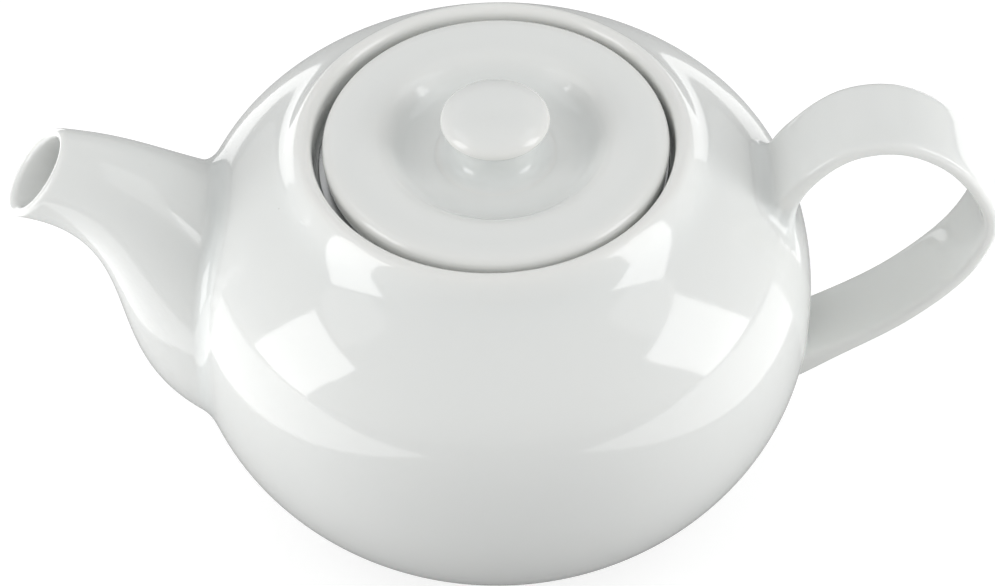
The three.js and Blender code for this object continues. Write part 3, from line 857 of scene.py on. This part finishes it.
def makeBasketWall():
    # One cell is a square with a round hole: eight points round its border joined to eight round the
    # hole. Cells stand side by side round the basket, every other row moved by half a cell, between two
    # plain bands.
    d = basketDims
    low, high = d["bottom"] + d["cupLip"] + 1.2, d["collarBottom"] - 1.5
    cellTall = (high - low) / d["rows"]
    thickness = d["sheet"] * d["wallShare"]
    border = np.array([(0.5, 0), (0.5, 0.5), (0, 0.5), (-0.5, 0.5),
                       (-0.5, 0), (-0.5, -0.5), (0, -0.5), (0.5, -0.5)])
    spin = np.arange(8) * np.pi / 4
    pitch = 2 * np.pi * (d["topRadius"] + d["footRadius"]) / 2 / d["columns"]
    hole = d["holeShare"] * np.stack([np.cos(spin), np.sin(spin) * pitch / cellTall], 1)
    flat = np.concatenate([border, hole])  # in cell units
    row, column = np.meshgrid(np.arange(d["rows"]), np.arange(d["columns"]), indexing="ij")
    across = (column + 0.5 * (row % 2))[..., None] + flat[:, 0]
    up = (row + 0.5)[..., None] + flat[:, 1]
    angle = across * 2 * np.pi / d["columns"]
    z = low + up * cellTall

    def wrap(radiusOff):
        r = basketRadius(z) + radiusOff
        return np.stack([r * np.cos(angle), r * np.sin(angle), z], -1).reshape(-1, 3)

    points = [wrap(0.0), wrap(-thickness)]
    cells = d["rows"] * d["columns"]
    perCell = len(flat)
    oneSide = cells * perCell
    base = np.arange(cells)[:, None, None] * perCell
    i, j = np.arange(8), np.roll(np.arange(8), -1)
    ringOut = np.stack([i, j, j + 8, i + 8], 1)[None]
    bore = np.stack([i + 8, j + 8, j + 8 + oneSide, i + 8 + oneSide], 1)[None]
    faces = [(base + ringOut).reshape(-1, 4), (base + ringOut[..., ::-1] + oneSide).reshape(-1, 4),
             (base + bore).reshape(-1, 4)]
    # Plain bands above and below, with their edges closed.
    half = np.arange(2 * d["columns"]) * np.pi / d["columns"]
    first = 2 * oneSide
    for edge, end in ((low, d["bottom"] + 1.1), (high, d["rimBottom"] - 0.3)):
        ends = [(edge, 0.0), (end, 0.0), (end, -thickness), (edge, -thickness)]
        ring = np.stack([np.stack([(basketRadius(h) + off) * np.cos(half),
                                   (basketRadius(h) + off) * np.sin(half),
                                   np.full(len(half), h)], 1) for h, off in ends])
        if edge == high:
            ring = ring[::-1]
        faces.append(gridFaces(4, len(half), False, True)[:, ::-1] + first)
        points.append(ring.reshape(-1, 3))
        first += len(points[-1])
    mesh = meshFrom("infuserWall", np.concatenate(points), np.concatenate(faces))
    work = bmesh.new()
    work.from_mesh(mesh)
    bmesh.ops.remove_doubles(work, verts=work.verts, dist=10 * weldDistance)
    bmesh.ops.recalc_face_normals(work, faces=work.faces)
    work.to_mesh(mesh)
    work.free()
    makePiece("infuserWall", mesh, "infuser", "basket_steel", wallSteel, "infuser_wall", sharpDegrees=30)


def makeBasketBase():
    # A shallow cup under the basket, drilled in rings: ring n holds 6n holes.
    d = basketDims
    inner = float(basketRadius(d["bottom"] + d["cupLip"])) + 0.3
    outer = inner + d["sheet"]
    low, top, lip = d["bottom"], d["bottom"] + d["sheet"], d["bottom"] + d["cupLip"]
    profile = cornered([(0, low, 0), (9, low, 0), (18, low, 0), (outer, low, 1.6), (outer, lip, 0.35),
                        (inner, lip, 0.35), (inner, top, 0.9), (18, top, 0), (9, top, 0), (0, top, 0)], 8)
    grid = turned(profile, d["turns"])
    mesh = meshFrom("infuserBase", grid.reshape(-1, 3), gridFaces(*grid.shape[:2], False, True))
    starts = [(0, 0, low - 1)]
    for ring in range(1, d["floorRings"] + 1):
        a = (np.arange(6 * ring) + 0.5 * (ring % 2)) * 2 * np.pi / (6 * ring)
        r = ring * d["floorPitch"]
        starts += np.stack([r * np.cos(a), r * np.sin(a), 0 * a + low - 1], 1).tolist()
    mesh = drilled(mesh, starts, (0, 0, 1), 4, d["floorHole"], 12)
    makePiece("infuserBase", mesh, "infuser", "basket_steel", baseSteel, "infuser_base")


makeRim()
makeBasketWall()
makeBasketBase()


studio = {
    "floorRadius": 2600.0, "floorThickness": 6.0,
    "floorColour": (0.50, 0.50, 0.50, 1.0), "floorGrain": (0.49, 0.49, 0.485, 1),
    "floorLight": 0.66,  # the floor's own light, seen only from the camera
    "sky": 0.565,
    # name: azimuth, elevation, distance, width, height, power, lean
    "panels": {
        "leftBox": (-73, 17.9, 1173, 502, 860, 4.75, -7),
        "rightBox": (75, 18.8, 1172, 500, 900, 4.75, 11),
        "backBox": (180, 36, 1500, 1500, 600, 0.8, 0),
        "leftHigh": (-90, 52, 1300, 900, 500, 0.9, 0),
        "rightHigh": (90, 52, 1300, 900, 500, 1.0, 0),
    },
    "panelAim": (0, 0, 50),
    "sheets": {"leftSheet": (-440, 2.3), "rightSheet": (440, 2.0)},  # name: centre x, power
    "sheetWidth": 600, "sheetLength": 900, "sheetCentreY": 100,
}


def makeFloor():
    # A wide flat disc, pale and matt, with a trace of paper grain.
    rim, top, bottom = studio["floorRadius"], -0.02, -studio["floorThickness"]
    ring = np.array([(rim, top), (0.0, top), (0.0, bottom), (rim, bottom)])
    grid = turned(ring, 96)
    mesh = meshFrom("floor", grid.reshape(-1, 3), gridFaces(*grid.shape[:2], True, True))
    floor = bpy.data.objects.new("floor", mesh)
    bpy.context.scene.collection.objects.link(floor)
    material, b = newMaterial("paperFloor")
    place = b.add("TexCoord").outputs["Object"]
    grain = b.noise(place, 900.0, 3.0)
    tone = b.blend(b.ramp(grain, 0.3, 0.7, 0.0, 0.25), studio["floorColour"], studio["floorGrain"])
    seen = b.add("LightPath").outputs["Is Camera Ray"]
    glow = b.math("MULTIPLY", seen, studio["floorLight"])
    skin = b.add("BsdfPrincipled", ("Base Color", tone), ("Emission Strength", glow),
                 values={"Roughness": 0.9, "Specular IOR Level": 0.1, "Emission Color": grey(1.0)})
    b.add("OutputMaterial", ("Surface", skin.outputs[0]))
    mesh.materials.append(material)


def softLight(name, centre, facing, width, height, power):
    # A soft rectangular light at centre, in millimetres, which shines against the direction facing.
    lamp = bpy.data.lights.new(name, "AREA")
    lamp.shape, lamp.size, lamp.size_y, lamp.energy = "RECTANGLE", width * mm, height * mm, power
    light = bpy.data.objects.new(name, lamp)
    bpy.context.scene.collection.objects.link(light)
    light.location = Vector(centre) * mm
    light.rotation_mode = "QUATERNION"
    light.rotation_quaternion = Vector(facing).to_track_quat("Z", "Y")
    return light


def makePanel(name, azimuth, elevation, distance, width, height, power, lean):
    # A panel on a stand, facing the pot: azimuth 0 is the camera's side and grows to the right.
    # Its lean is a turn in its own plane.
    a, e = np.radians(azimuth), np.radians(elevation)
    away = Vector((np.sin(a) * np.cos(e), -np.cos(a) * np.cos(e), np.sin(e)))
    light = softLight(name, Vector(studio["panelAim"]) + away * distance, away, width, height, power)
    light.rotation_quaternion = light.rotation_quaternion @ Quaternion((0, 0, 1), np.radians(lean))


def makeSheet(name, centreX, power):
    # A bright sheet lying on the floor beside the pot, which lights its lower sides as a white table does.
    centre = (centreX, studio["sheetCentreY"], 1)
    sheet = softLight(name, centre, (0, 0, -1), studio["sheetWidth"], studio["sheetLength"], power)
    sheet.visible_camera = False


def makeStudio():
    makeFloor()
    for name, values in studio["panels"].items():
        makePanel(name, *values)
    for name, values in studio["sheets"].items():
        makeSheet(name, *values)
    world = bpy.data.worlds.new("paleRoom")
    bpy.context.scene.world = world
    world.use_nodes = True
    world.node_tree.nodes["Background"].inputs["Color"].default_value = grey(1.0, (0.99, 1.0, 1.0))
    world.node_tree.nodes["Background"].inputs["Strength"].default_value = studio["sky"]
    print("studio made")


makeStudio()

cameraPlace = {
    "elevation": 47.9, "distance": 705.63, "aim": (-0.16, 0.0, 48.96), "roll": -1.88,
    "lens": 111.13, "sensorWidth": 36,
}


def makeCamera():
    # The camera looks at its aim from the front and above, turned a little about its own line of sight.
    e, roll = np.radians(cameraPlace["elevation"]), np.radians(cameraPlace["roll"])
    back = Vector((0, -np.cos(e), np.sin(e)))
    right = Vector((1, 0, 0))
    up = back.cross(right)
    leaning = np.cos(roll) * right + np.sin(roll) * up
    upright = np.cos(roll) * up - np.sin(roll) * right
    place = (Vector(cameraPlace["aim"]) + back * cameraPlace["distance"]) * mm
    turn = Matrix((leaning, upright, back)).transposed().to_4x4()
    camera = bpy.data.objects.new("camera", bpy.data.cameras.new("camera"))
    bpy.context.scene.collection.objects.link(camera)
    camera.matrix_world = Matrix.Translation(place) @ turn
    camera.data.lens, camera.data.sensor_width = cameraPlace["lens"], cameraPlace["sensorWidth"]
    camera.data.clip_start, camera.data.clip_end = 0.01, 20
    bpy.context.scene.camera = camera


makeCamera()
bpy.context.scene.view_settings.view_transform = "Standard"

print("scene complete")
